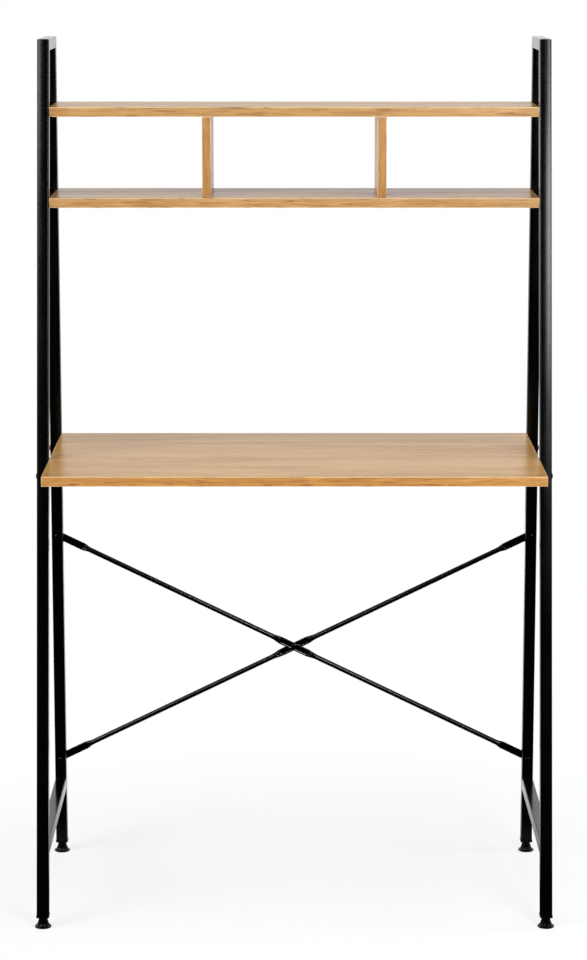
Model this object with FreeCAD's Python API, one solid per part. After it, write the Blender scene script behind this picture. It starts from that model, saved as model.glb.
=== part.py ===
import FreeCAD, Part
import math
import os

# Free-standing ladder desk with a two-shelf hutch, a cross-braced steel frame and levelling feet.
#
# Millimetres. +X is to the right and +Y to the rear as the user faces the desk, +Z is up.
# The origin is on the floor, under the middle of the whole object's box.
# While the pieces are made, Y is counted from the front leg's front face at its lower end;
# save() moves each finished piece to the origin's place.

Vec = FreeCAD.Vector

# ---------------------------------------------------------------- driving sizes
# Steel side frames
overall_height = 1459.0
inner_width = 820.0
base_depth = 436.0
top_depth = 158.0
tube = 20.0
tube_wall = 1.2
tube_corner = 2.0
stretcher_top = 138.0

# Levelling feet and leg inserts
foot_height = 17.6
foot_travel = 10.0
foot_gap = 0.3
pad_radius = 13.8
pad_rim_height = 3.4
pad_rim_edge = 1.2
pad_skirt_radius = 10.4
pad_neck_radius = 6.4
pad_flutes = 8
flute_radius = 1.7
stud_radius = 3.0
stud_left_in = 10.0
stud_in_pad = 10.0
insert_depth = 23.0
lip_height = 4.0
lip_over = 0.7
lip_chamfer = 1.2
insert_clearance = 0.1
running_clearance = 0.05

# Boards
board = 16.0
band = 1.0
band_ease = 0.5
desk_height = 769.0
desk_overhang = 15.0
desk_rear_gap = 3.0
desk_end_gap = 0.5
upper_shelf_height = 1347.0
lower_shelf_height = 1197.5
shelf_setback = 1.0
divider = 15.0
divider_centre = 147.3

# Desk rails, steel angle
rail_leg = 25.0
rail_wall = 2.0
rail_inset = 1.0
rail_screw_count = 3

# Cross brace, tube pressed flat at its ends and where the two cross
brace_upper = 581.5
brace_lower = 172.2
brace_radius = 4.5
brace_bore = 3.5
brace_flat_width = 13.6
brace_flat = 2.4
brace_end_flat = 54.0
brace_end_past = 8.0
brace_mid_flat = 27.0
brace_taper = 10.0
vent_radius = 1.0

# Fasteners
bolt_radius = 3.0
bolt_clearance = 0.25
thread_clearance = 0.05
head_radius = 5.3
head_height = 2.0
socket_across = 4.0
socket_depth = 1.1
csk_radius = 5.6
csk_clearance = 0.1
nut_across = 10.0
nut_height = 5.0
bolt_tail = 1.0
barrel_radius = 5.0
barrel_height = 12.0
barrel_inset = 24.0
barrel_clearance = 0.1
shelf_bolt_past = 6.0
screw_radius = 2.0
screw_length = 14.0
screw_head_radius = 4.0
screw_head_height = 2.2
dowel_radius = 4.0
dowel_in_shelf = 10.0
dowel_in_divider = 20.0
dowel_end_gap = 0.5
dowel_inset = 35.0
confirmat_radius = 2.5
confirmat_length = 50.0
confirmat_head = 4.5
confirmat_inset = 50.0

# ---------------------------------------------------------------- derived sizes
side_inner = inner_width / 2
side_outer = side_inner + tube
side_centre = side_inner + tube / 2
rear_face = base_depth - tube
rear_centre = base_depth - tube / 2
lean = math.atan2(base_depth - top_depth, overall_height - foot_height)
leg_run = tube / math.cos(lean)
leg_end = foot_height + lip_height
stud_engaged = foot_travel + stud_left_in
bore_radius = bolt_radius + bolt_clearance
desk_under = desk_height - board
rail_bolt_height = desk_under - rail_leg / 2
brace_rear = base_depth + brace_flat
rear_most = base_depth + brace_flat + nut_height + bolt_tail
y_middle = (rear_most - desk_overhang) / 2
far = 2 * overall_height

CORNERS = {"front_left": (-1, "front"), "front_right": (1, "front"),
           "rear_left": (-1, "rear"), "rear_right": (1, "rear")}
SIDES = {"left": -1, "right": 1}
FRONT = Vec(0, -1, 0)
REAR = Vec(0, 1, 0)
LEFT = Vec(-1, 0, 0)
RIGHT = Vec(1, 0, 0)


def leg_front(z):
    """Y of the front leg's front face at height z."""
    return (z - foot_height) * math.tan(lean)


def leg_middle(z):
    """Y of the front leg's centre line at height z."""
    return leg_front(z) + leg_run / 2


def foot_middle(row):
    """Y of the foot's axis in the front or the rear row."""
    return leg_middle(leg_end) if row == "front" else rear_centre


# ---------------------------------------------------------------- helpers
def save(name, *pieces):
    """Write one sub-part, moved so that the whole object's box is centred on the origin."""
    shape = pieces[0] if len(pieces) == 1 else Part.makeCompound(list(pieces))
    shape = shape.copy()
    shape.translate(Vec(0, -y_middle, 0))
    shape.exportStep("parts/" + name + ".step")


def box(x0, x1, y0, y1, z0, z1):
    """Block between two corners, given in any order."""
    low = Vec(min(x0, x1), min(y0, y1), min(z0, z1))
    return Part.makeBox(abs(x1 - x0), abs(y1 - y0), abs(z1 - z0), low)


def rod(radius, start, direction, length):
    """Cylinder from a start point along a direction."""
    return Part.makeCylinder(radius, length, start, direction)


def place(shape, point, direction):
    """Turn a shape's local +Z to a direction and move its origin to a point."""
    turned = shape.copy()
    turned.Placement = FreeCAD.Placement(point, FreeCAD.Rotation(Vec(0, 0, 1), direction))
    return turned


def cut_all(shape, tools):
    """Subtract each tool in turn."""
    for tool in tools:
        shape = shape.cut(tool)
    return shape


def rounded_bar(width, length, corner):
    """Square bar along +Z with its four long edges rounded."""
    bar = Part.makeBox(width, width, length, Vec(-width / 2, -width / 2, 0))
    long_edges = [e for e in bar.Edges if e.BoundBox.ZLength > length / 2]
    return bar.makeFillet(corner, long_edges)


def hollow_bar(length):
    """Square tube along +Z."""
    bore = rounded_bar(tube - 2 * tube_wall, length, max(tube_corner - tube_wall, 0.3))
    return rounded_bar(tube, length, tube_corner).cut(bore)


def side_slab(points):
    """Wide slab across X whose outline in the Y-Z plane is a polygon."""
    ring = [Vec(-far, y, z) for y, z in points]
    face = Part.Face(Part.makePolygon(ring + ring[:1]))
    return face.extrude(Vec(2 * far, 0, 0))


def lean_bar(shape, x):
    """Turn a bar along +Z to the front leg's line, starting well below the floor."""
    start = -4 * tube
    centre = Vec(x, tube / 2 * math.cos(lean), foot_height - tube / 2 * math.sin(lean))
    along = Vec(0, math.sin(lean), math.cos(lean))
    return place(shape, centre + along * start, along)


# ---------------------------------------------------------------- side frames
def mitre_line():
    """Outer and inner points, in Y and Z, of the joint between front leg and top bar."""
    top = (leg_front(overall_height), overall_height)
    under = overall_height - tube
    inner = (leg_front(under) + leg_run, under)
    return top, inner


def stretch(first, second, factor):
    """Point on the line from first through second, factor times as far."""
    return tuple(a + (b - a) * factor for a, b in zip(first, second))


def leg_holes(side, places, countersunk):
    """Bolt holes across a leg, with a countersink in the outer wall where it is wanted."""
    tools = []
    for y, z in places:
        tools.append(rod(bore_radius, Vec(side * (side_inner - 1), y, z), Vec(side, 0, 0), tube + 2))
        if countersunk:
            drop = csk_radius - bolt_radius
            outer = Vec(side * (side_outer + csk_clearance), y, z)
            wide = csk_radius + 2 * csk_clearance
            tools.append(Part.makeCone(wide, wide - drop, drop, outer, Vec(-side, 0, 0)))
    return tools


def shelf_bolt_places(row):
    """Y and Z of the shelf bolts in one row of legs."""
    heights = [upper_shelf_height - board / 2, lower_shelf_height - board / 2]
    return [(leg_middle(z) if row == "front" else rear_centre, z) for z in heights]


def rail_bolt_places(row):
    """Y and Z of the desk rail's bolt in one row of legs."""
    return [(leg_middle(rail_bolt_height) if row == "front" else rear_centre, rail_bolt_height)]


def front_leg(side):
    """Leaning front leg, cut level at its foot and mitred to the top bar."""
    outer, inner = mitre_line()
    low = (inner[0] + 10 * tube, leg_end)
    past_inner = stretch(outer, inner, 6)
    past_outer = stretch(inner, outer, 6)
    keep = side_slab([(-far, leg_end), low, (low[0], past_inner[1]), past_inner, past_outer,
                      (-far, past_outer[1])])
    length = (overall_height + 8 * tube) / math.cos(lean)
    leg = lean_bar(hollow_bar(length), side * side_centre).common(keep)
    leg = cut_all(leg, leg_holes(side, shelf_bolt_places("front"), True))
    return cut_all(leg, leg_holes(side, rail_bolt_places("front"), False))


def rear_leg(side):
    """Upright rear leg, mitred to the top bar, with holes for the boards, rail and brace."""
    leg = hollow_bar(overall_height - leg_end)
    leg.translate(Vec(side * side_centre, rear_centre, leg_end))
    corner = (base_depth, overall_height)
    leg = leg.cut(side_slab([corner, (base_depth - 2 * tube, overall_height),
                             (base_depth - 2 * tube, overall_height - 2 * tube)]))
    leg = cut_all(leg, leg_holes(side, shelf_bolt_places("rear"), True))
    leg = cut_all(leg, leg_holes(side, rail_bolt_places("rear"), False))
    for z in (brace_upper, brace_lower):
        leg = leg.cut(rod(bore_radius, Vec(side * side_centre, rear_face - 1, z), Vec(0, 1, 0), tube + 2))
    return leg


def top_bar(side):
    """Level bar that joins the two legs at their top."""
    bar = place(hollow_bar(top_depth), Vec(side * side_centre, base_depth - top_depth,
                                           overall_height - tube / 2), Vec(0, 1, 0))
    outer, inner = mitre_line()
    past_inner = stretch(outer, inner, 6)
    past_outer = stretch(inner, outer, 6)
    front_waste = side_slab([past_outer, past_inner, (past_inner[0] - far, past_inner[1]),
                             (past_inner[0] - far, past_outer[1])])
    corner = (base_depth, overall_height)
    rear_waste = side_slab([corner, (base_depth + tube, overall_height),
                            (base_depth + tube, overall_height - 2 * tube),
                            (base_depth - 2 * tube, overall_height - 2 * tube)])
    return bar.cut(front_waste).cut(rear_waste)


def side_stretcher(side):
    """Level bar between the two legs near the floor, butted and welded to both."""
    bar = place(hollow_bar(rear_face), Vec(side * side_centre, 0, stretcher_top - tube / 2),
                Vec(0, 1, 0))
    z_low = stretcher_top - 2 * tube
    z_high = stretcher_top + tube
    waste = side_slab([(leg_front(z_low) + leg_run, z_low), (leg_front(z_high) + leg_run, z_high),
                       (-far, z_high), (-far, z_low)])
    return bar.cut(waste)


def desk_rail(side):
    """Steel angle under the desk, bolted to both legs of one side."""
    front = leg_front(rail_bolt_height) + rail_inset
    rear = base_depth - rail_inset
    low = desk_under - rail_leg
    upright = box(side * side_inner, side * (side_inner - rail_wall), front, rear, low, desk_under)
    shelf = box(side * side_inner, side * (side_inner - rail_leg), front, rear,
                desk_under - rail_wall, desk_under)
    rail = upright.fuse(shelf).removeSplitter()
    for row in ("front", "rear"):
        for y, z in rail_bolt_places(row):
            rail = rail.cut(rod(bore_radius, Vec(side * (side_inner + 1), y, z), Vec(-side, 0, 0),
                                rail_wall + 2))
    for x, y in rail_screw_places(side):
        rail = rail.cut(rod(screw_radius + bolt_clearance, Vec(x, y, desk_under - rail_wall - 1),
                            Vec(0, 0, 1), rail_wall + 2))
    return rail


def rail_screw_places(side):
    """X and Y of the wood screws that hold the desk board to one rail."""
    front = leg_front(rail_bolt_height) + 2 * rail_leg
    rear = rear_face - rail_leg
    step = (rear - front) / (rail_screw_count - 1)
    x = side * (side_inner - rail_leg / 2 - rail_wall / 2)
    return [(x, front + step * i) for i in range(rail_screw_count)]


# ---------------------------------------------------------------- feet
def leg_insert(side, row):
    """Plastic insert that closes a leg's end and holds the foot's thread."""
    x = side * side_centre
    y = foot_middle(row)
    width = tube - 2 * (tube_wall + insert_clearance)
    corner = max(tube_corner - tube_wall, 0.3)
    top = leg_end + insert_depth
    keep = side_slab([(-far, leg_end), (far, leg_end), (far, top), (-far, top)])
    if row == "front":
        body = lean_bar(rounded_bar(width, 12 * tube, corner), x).common(keep)
        run = leg_run
    else:
        body = rounded_bar(width, insert_depth, corner)
        body.translate(Vec(x, y, leg_end))
        run = tube
    half_x = tube / 2 + lip_over
    half_y = run / 2 + lip_over
    lip = box(x - half_x, x + half_x, y - half_y, y + half_y, foot_height, leg_end)
    upright = [e for e in lip.Edges if e.BoundBox.ZLength > lip_height / 2]
    lip = lip.makeFillet(tube_corner, upright)
    under = [e for e in lip.Edges if e.BoundBox.ZMax < foot_height + 0.01]
    lip = lip.makeChamfer(lip_chamfer, under)
    bore = rod(stud_radius + running_clearance, Vec(x, y, foot_height - 1), Vec(0, 0, 1),
               lip_height + insert_depth + 2)
    return body.fuse(lip).removeSplitter().cut(bore)


def foot_stud(side, row):
    """Threaded stud, drawn as its outer cylinder with a chamfered tip."""
    low = foot_height - foot_gap - stud_in_pad
    length = stud_in_pad + foot_gap + stud_engaged
    stud = rod(stud_radius, Vec(side * side_centre, foot_middle(row), low), Vec(0, 0, 1), length)
    tip = [e for e in stud.Edges if e.BoundBox.ZMin > low + length - 0.01]
    return stud.makeChamfer(stud_radius / 5, tip)


def foot_pad(side, row):
    """Moulded cone foot with a rounded rim, fluted sides and a blind bore for the stud."""
    top = foot_height - foot_gap
    outline = [Vec(0, 0, 0), Vec(pad_radius - pad_rim_edge, 0, 0)]
    rim_mid = Vec(pad_radius, 0, pad_rim_edge)
    rim_top = Vec(pad_radius, 0, pad_rim_height - pad_rim_edge)
    rim_in = Vec(pad_radius - pad_rim_edge, 0, pad_rim_height)
    bend = pad_rim_edge * (1 - math.sqrt(0.5))
    edges = [Part.makeLine(outline[0], outline[1]),
             Part.Arc(outline[1], Vec(pad_radius - bend, 0, bend), rim_mid).toShape(),
             Part.makeLine(rim_mid, rim_top),
             Part.Arc(rim_top, Vec(pad_radius - bend, 0, pad_rim_height - bend), rim_in).toShape(),
             Part.makeLine(rim_in, Vec(pad_skirt_radius, 0, pad_rim_height)),
             Part.makeLine(Vec(pad_skirt_radius, 0, pad_rim_height), Vec(pad_neck_radius, 0, top)),
             Part.makeLine(Vec(pad_neck_radius, 0, top), Vec(0, 0, top)),
             Part.makeLine(Vec(0, 0, top), Vec(0, 0, 0))]
    pad = Part.Face(Part.Wire(edges)).revolve(Vec(0, 0, 0), Vec(0, 0, 1), 360)
    rise = top - pad_rim_height
    slope = Vec(pad_neck_radius - pad_skirt_radius, 0, rise)
    out = flute_radius * 0.45
    start = Vec(pad_skirt_radius + out, 0, pad_rim_height + flute_radius)
    flute = rod(flute_radius, start, slope, rise)
    for i in range(pad_flutes):
        tool = flute.copy()
        tool.rotate(Vec(0, 0, 0), Vec(0, 0, 1), 360 * (i + 0.5) / pad_flutes)
        pad = pad.cut(tool)
    bore = rod(stud_radius + running_clearance, Vec(0, 0, top - stud_in_pad - foot_gap),
               Vec(0, 0, 1), stud_in_pad + foot_gap + 1)
    pad = pad.cut(bore)
    pad.translate(Vec(side * side_centre, foot_middle(row), 0))
    return pad


# ---------------------------------------------------------------- boards
def eased_band(x0, x1, y0, y1, z0, z1, outward):
    """Edge band whose two long outer edges are eased."""
    strip = box(x0, x1, y0, y1, z0, z1)
    plane = max(v.Point.dot(outward) for v in strip.Vertexes)
    longest = max(e.Length for e in strip.Edges)
    picked = [e for e in strip.Edges if e.Length > longest - 0.01
              and all(v.Point.dot(outward) > plane - 0.01 for v in e.Vertexes)]
    return strip.makeFillet(band_ease, picked)


def level_board(x_half, y0, y1, z1, cuts):
    """Core and edge bands of a level board whose top is at z1."""
    z0 = z1 - board
    core = box(-x_half + band, x_half - band, y0 + band, y1 - band, z0, z1)
    bands = [eased_band(-x_half, x_half, y0, y0 + band, z0, z1, FRONT),
             eased_band(-x_half, x_half, y1 - band, y1, z0, z1, REAR),
             eased_band(-x_half, -x_half + band, y0 + band, y1 - band, z0, z1, LEFT),
             eased_band(x_half - band, x_half, y0 + band, y1 - band, z0, z1, RIGHT)]
    return cut_all(core, cuts), [cut_all(strip, cuts) for strip in bands]


def shelf_edges(z):
    """Front and rear Y of a shelf whose top is at z."""
    return leg_front(z) + shelf_setback, base_depth - shelf_setback


def shelf_bolt_cuts(z):
    """Holes in a shelf's ends for its four bolts, and in its underside for the barrel nuts."""
    cuts = []
    axis = z - board / 2
    reach = barrel_inset + shelf_bolt_past + 1
    for side in SIDES.values():
        for y in (leg_middle(axis), rear_centre):
            cuts.append(rod(bore_radius, Vec(side * (side_inner + 1), y, axis), Vec(-side, 0, 0), reach + 1))
            x = side * (side_inner - barrel_inset)
            top = axis + barrel_height / 2 + barrel_clearance
            cuts.append(rod(barrel_radius + barrel_clearance, Vec(x, y, z - board - 1), Vec(0, 0, 1),
                            top - (z - board - 1)))
    return cuts


def divider_spots(inset):
    """X and Y of the two fixings, front and rear, of each divider."""
    front, rear = shelf_edges(upper_shelf_height)
    return [(side * divider_centre, y) for side in SIDES.values() for y in (front + inset, rear - inset)]


def upper_shelf():
    """Upper shelf board, drilled for its bolts and the dividers' dowels."""
    cuts = shelf_bolt_cuts(upper_shelf_height)
    under = upper_shelf_height - board
    for x, y in divider_spots(dowel_inset):
        cuts.append(rod(dowel_radius + barrel_clearance, Vec(x, y, under - 1), Vec(0, 0, 1),
                        dowel_in_shelf + dowel_end_gap + 1))
    front, rear = shelf_edges(upper_shelf_height)
    return level_board(side_inner, front, rear, upper_shelf_height, cuts)


def lower_shelf():
    """Lower shelf board, drilled for its bolts and for the screws up into the dividers."""
    cuts = shelf_bolt_cuts(lower_shelf_height)
    under = lower_shelf_height - board
    for x, y in divider_spots(confirmat_inset):
        cuts.append(rod(confirmat_radius + thread_clearance, Vec(x, y, under - 1), Vec(0, 0, 1), board + 2))
        rise = confirmat_head - confirmat_radius
        wide = confirmat_head + csk_clearance
        cuts.append(Part.makeCone(wide, wide - rise, rise, Vec(x, y, under), Vec(0, 0, 1)))
    front, rear = shelf_edges(lower_shelf_height)
    return level_board(side_inner, front, rear, lower_shelf_height, cuts)


def desk_board():
    """Desk board that reaches out in front of the legs and lies on the two rails."""
    cuts = []
    for side in SIDES.values():
        for x, y in rail_screw_places(side):
            deep = screw_length - rail_wall + 1
            start = Vec(x, y, desk_under - 1)
            cuts.append(rod(screw_radius + thread_clearance, start, Vec(0, 0, 1), deep + 1))
    return level_board(side_inner - desk_end_gap, -desk_overhang, rear_face - desk_rear_gap,
                       desk_height, cuts)


def shelf_divider(side):
    """Upright board between the shelves, with a band on its front and rear edges."""
    z0 = lower_shelf_height
    z1 = upper_shelf_height - board
    front, rear = shelf_edges(upper_shelf_height)
    x0 = side * divider_centre - divider / 2
    x1 = side * divider_centre + divider / 2
    core = box(x0, x1, front + band, rear - band, z0, z1)
    for x, y in divider_spots(dowel_inset):
        core = core.cut(rod(dowel_radius + barrel_clearance, Vec(x, y, z1 + 1), Vec(0, 0, -1),
                            dowel_in_divider + dowel_end_gap + 1))
    for x, y in divider_spots(confirmat_inset):
        core = core.cut(rod(confirmat_radius + thread_clearance, Vec(x, y, z0 - 1), Vec(0, 0, 1),
                            confirmat_length - board + 2))
    bands = [eased_band(x0, x1, front, front + band, z0, z1, FRONT),
             eased_band(x0, x1, rear - band, rear, z0, z1, REAR)]
    return core, bands


# ---------------------------------------------------------------- cross brace
def pressed_ring(width, height, z, shift):
    """Closed outline of a pressed tube at z: two flats joined by round edges, off centre by shift."""
    half = (width - height) / 2
    r = height / 2
    a = Vec(-half, shift + r, z)
    b = Vec(half, shift + r, z)
    c = Vec(half, shift - r, z)
    d = Vec(-half, shift - r, z)
    right = Part.Arc(b, Vec(half + r, shift, z), c).toShape()
    left = Part.Arc(d, Vec(-half - r, shift, z), a).toShape()
    return Part.Wire([Part.makeLine(a, b), right, Part.makeLine(c, d), left])


def round_ring(radius, z):
    """Circle at z in four arcs that match the flats and round edges of the pressed outline."""
    def at(degrees):
        turn = math.radians(degrees)
        return Vec(radius * math.cos(turn), radius * math.sin(turn), z)
    marks = [(150, 90, 30), (30, 0, -30), (-30, -90, -150), (-150, 180, 150)]
    return Part.Wire([Part.Arc(at(p), at(q), at(r)).toShape() for p, q, r in marks])


def pressed_block(z0, z1, shift):
    """Flat stretch of the brace."""
    ring = pressed_ring(brace_flat_width, brace_flat, z0, shift)
    return Part.Face(ring).extrude(Vec(0, 0, z1 - z0))


def brace_rod(layer):
    """Brace along local +Z from one bolt hole to the other; its middle steps by half a layer."""
    length = math.hypot(2 * side_centre, brace_upper - brace_lower)
    middle = length / 2
    step = layer * brace_flat / 2
    taper_at = [(brace_end_flat, 0, 1), (middle - brace_mid_flat, step, -1),
                (middle + brace_mid_flat, step, 1), (length - brace_end_flat, 0, -1)]
    pieces = [pressed_block(0, brace_end_flat, 0),
              pressed_block(middle - brace_mid_flat, middle + brace_mid_flat, step),
              pressed_block(length - brace_end_flat, length, 0)]
    rounds = []
    for z, shift, way in taper_at:
        flat = pressed_ring(brace_flat_width, brace_flat, z, shift)
        full = round_ring(brace_radius, z + way * brace_taper)
        order = [flat, full] if way > 0 else [full, flat]
        pieces.append(Part.makeLoft(order, True, True))
        rounds.append(z + way * brace_taper)
    for low, high in ((rounds[0], rounds[1]), (rounds[2], rounds[3])):
        pieces.append(rod(brace_radius, Vec(0, 0, low), Vec(0, 0, 1), high - low))
    for z in (0, length):
        pieces.append(end_tongue(z, -1 if z == 0 else 1))
    body = pieces[0].multiFuse(pieces[1:])
    for low, high in ((rounds[0], rounds[1]), (rounds[2], rounds[3])):
        body = body.cut(rod(brace_bore, Vec(0, 0, low + 1), Vec(0, 0, 1), high - low - 2))
        body = body.cut(rod(vent_radius, Vec(0, 0, low + brace_taper), Vec(0, 1, 0), brace_radius + 1))
    for z in (0, middle, length):
        body = body.cut(rod(bore_radius, Vec(0, -4 * brace_flat, z), Vec(0, 1, 0), 8 * brace_flat))
    return body


def end_tongue(z, way):
    """Rounded tongue past an end bolt."""
    half = brace_flat_width / 2
    straight = max(brace_end_past - half, 0)
    disc = rod(half, Vec(0, -brace_flat / 2, z + way * straight), Vec(0, 1, 0), brace_flat)
    if straight == 0:
        return disc
    slab = box(-half, half, -brace_flat / 2, brace_flat / 2, z, z + way * straight)
    return disc.fuse(slab)


def brace(way):
    """Cross brace behind the rear legs: way +1 falls to the right and crosses in front."""
    shape = brace_rod(-way)
    start = Vec(-side_centre, base_depth + brace_flat / 2, brace_upper if way > 0 else brace_lower)
    drop = way * (brace_upper - brace_lower)
    angle = math.degrees(math.atan2(drop, 2 * side_centre))
    shape.rotate(Vec(0, 0, 0), Vec(0, 1, 0), 90 + angle)
    shape.translate(start)
    return shape


# ---------------------------------------------------------------- fasteners
def hexagon(across, height, z):
    """Hexagonal block with a given distance across its flats."""
    reach = across / 2 / math.cos(math.radians(30))
    ring = [Vec(reach * math.cos(math.radians(60 * i)), reach * math.sin(math.radians(60 * i)), z)
            for i in range(6)]
    return Part.Face(Part.makePolygon(ring + ring[:1])).extrude(Vec(0, 0, height))


def button_bolt(length):
    """Button-head bolt: its head stands below z = 0 and its shank runs up."""
    head = rod(head_radius, Vec(0, 0, -head_height), Vec(0, 0, 1), head_height)
    crown = [e for e in head.Edges if e.BoundBox.ZMax < -head_height + 0.01]
    head = head.makeFillet(head_height * 0.7, crown)
    bolt = head.fuse(rod(bolt_radius, Vec(0, 0, 0), Vec(0, 0, 1), length))
    return bolt.cut(hexagon(socket_across, socket_depth, -head_height))


def countersunk_bolt(length):
    """Countersunk bolt: its flat face is at z = 0 and its shank runs up."""
    drop = csk_radius - bolt_radius
    head = Part.makeCone(csk_radius, bolt_radius, drop, Vec(0, 0, 0), Vec(0, 0, 1))
    bolt = head.fuse(rod(bolt_radius, Vec(0, 0, drop / 2), Vec(0, 0, 1), length - drop / 2))
    return bolt.cut(hexagon(socket_across, socket_depth, 0))


def hex_nut():
    """Hexagonal nut from z = 0 up."""
    bore = rod(bolt_radius + thread_clearance, Vec(0, 0, -1), Vec(0, 0, 1), nut_height + 2)
    return hexagon(nut_across, nut_height, 0).cut(bore)


def shelf_fixings():
    """Countersunk bolts through the legs and the barrel nuts in the shelves that take them."""
    length = tube + barrel_inset + shelf_bolt_past
    bolts = []
    nuts = []
    for side in SIDES.values():
        for row in ("front", "rear"):
            for y, z in shelf_bolt_places(row):
                bolts.append(place(countersunk_bolt(length), Vec(side * side_outer, y, z), Vec(-side, 0, 0)))
                x = side * (side_inner - barrel_inset)
                nut = rod(barrel_radius, Vec(x, y, z - barrel_height / 2), Vec(0, 0, 1), barrel_height)
                cross = rod(bolt_radius + thread_clearance, Vec(x - 2 * barrel_radius, y, z), Vec(1, 0, 0),
                            4 * barrel_radius)
                nuts.append(nut.cut(cross))
    return bolts, nuts


def rail_fixings():
    """Bolts and nuts that hold the desk rails to the legs."""
    bolts = []
    nuts = []
    length = tube + rail_wall + nut_height + bolt_tail
    for side in SIDES.values():
        for row in ("front", "rear"):
            for y, z in rail_bolt_places(row):
                bolts.append(place(button_bolt(length), Vec(side * side_outer, y, z), Vec(-side, 0, 0)))
                nuts.append(place(hex_nut(), Vec(side * (side_inner - rail_wall), y, z), Vec(-side, 0, 0)))
    return bolts, nuts


def brace_end_fixings():
    """Bolts through the rear legs and the nuts behind the brace ends."""
    bolts = []
    nuts = []
    length = rear_most - rear_face
    for side in SIDES.values():
        for z in (brace_upper, brace_lower):
            x = side * side_centre
            bolts.append(place(button_bolt(length), Vec(x, rear_face, z), Vec(0, 1, 0)))
            nuts.append(place(hex_nut(), Vec(x, brace_rear, z), Vec(0, 1, 0)))
    return bolts, nuts


def brace_centre_fixing():
    """Bolt and nut where the two braces cross."""
    z = (brace_upper + brace_lower) / 2
    front = base_depth - brace_flat / 2
    stack = 2 * brace_flat
    room = rear_most - front - stack
    height = min(nut_height, room - bolt_tail)
    bolt = place(button_bolt(stack + height + bolt_tail / 2), Vec(0, front, z), Vec(0, 1, 0))
    bore = rod(bolt_radius + thread_clearance, Vec(0, 0, -1), Vec(0, 0, 1), height + 2)
    nut = place(hexagon(nut_across, height, 0).cut(bore), Vec(0, front + stack, z), Vec(0, 1, 0))
    return bolt, nut


def board_screws():
    """Pan-head wood screws up through the rails into the desk board."""
    screws = []
    for side in SIDES.values():
        for x, y in rail_screw_places(side):
            seat = desk_under - rail_wall
            low = seat - screw_head_height
            head = rod(screw_head_radius, Vec(x, y, low), Vec(0, 0, 1), screw_head_height)
            rim = [e for e in head.Edges if e.BoundBox.ZMax < low + 0.01]
            head = head.makeFillet(screw_head_height * 0.6, rim)
            screws.append(head.fuse(rod(screw_radius, Vec(x, y, seat), Vec(0, 0, 1), screw_length)))
    return screws


def divider_fixings():
    """Dowels at the top of the dividers and countersunk screws at their foot."""
    dowels = []
    screws = []
    length = dowel_in_shelf + dowel_in_divider
    for x, y in divider_spots(dowel_inset):
        low = upper_shelf_height - board - dowel_in_divider
        dowel = rod(dowel_radius, Vec(x, y, low), Vec(0, 0, 1), length)
        ends = [e for e in dowel.Edges if e.BoundBox.ZLength < 0.01]
        dowels.append(dowel.makeChamfer(dowel_radius / 6, ends))
    under = lower_shelf_height - board
    rise = confirmat_head - confirmat_radius
    for x, y in divider_spots(confirmat_inset):
        head = Part.makeCone(confirmat_head, confirmat_radius, rise, Vec(x, y, under), Vec(0, 0, 1))
        shank = rod(confirmat_radius, Vec(x, y, under + rise / 2), Vec(0, 0, 1), confirmat_length - rise / 2)
        screw = head.fuse(shank)
        socket = hexagon(socket_across, socket_depth, 0)
        socket.translate(Vec(x, y, under))
        screws.append(screw.cut(socket))
    return dowels, screws


# ---------------------------------------------------------------- the object
def build_frame():
    """Side frames and desk rails."""
    for name, side in SIDES.items():
        save(name + "_front_leg", front_leg(side))
        save(name + "_rear_leg", rear_leg(side))
        save(name + "_top_bar", top_bar(side))
        save(name + "_stretcher", side_stretcher(side))
        save(name + "_desk_rail", desk_rail(side))


def build_feet():
    """Insert, stud and pad of each levelling foot."""
    for corner, (side, row) in CORNERS.items():
        save(corner + "_insert", leg_insert(side, row))
        save(corner + "_stud", foot_stud(side, row))
        save(corner + "_foot", foot_pad(side, row))


def build_boards():
    """Desk, shelves and dividers with their edge bands."""
    for name, make in (("desk", desk_board), ("upper_shelf", upper_shelf), ("lower_shelf", lower_shelf)):
        core, bands = make()
        save(name + "_board", core)
        save(name + "_edge_bands", *bands)
    for name, side in SIDES.items():
        core, bands = shelf_divider(side)
        save(name + "_divider", core)
        save(name + "_divider_edge_bands", *bands)


def build_brace():
    """The two brace rods."""
    save("falling_brace", brace(1))
    save("rising_brace", brace(-1))


def build_fixings():
    """Every group of fasteners."""
    groups = [("shelf_bolts", "shelf_barrel_nuts", shelf_fixings()),
              ("desk_rail_bolts", "desk_rail_nuts", rail_fixings()),
              ("brace_end_bolts", "brace_end_nuts", brace_end_fixings())]
    for bolt_name, nut_name, (bolts, nuts) in groups:
        save(bolt_name, *bolts)
        save(nut_name, *nuts)
    centre_bolt, centre_nut = brace_centre_fixing()
    save("brace_centre_bolt", centre_bolt)
    save("brace_centre_nut", centre_nut)
    save("desk_board_screws", *board_screws())
    dowels, screws = divider_fixings()
    save("divider_dowels", *dowels)
    save("divider_screws", *screws)


os.makedirs("parts", exist_ok=True)
build_frame()
build_feet()
build_boards()
build_brace()
build_fixings()
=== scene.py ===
import logging
import math
from dataclasses import dataclass, field
from enum import Enum
from typing import Callable, Sequence

import bmesh
import bpy
from mathutils import Matrix, Vector


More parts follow.
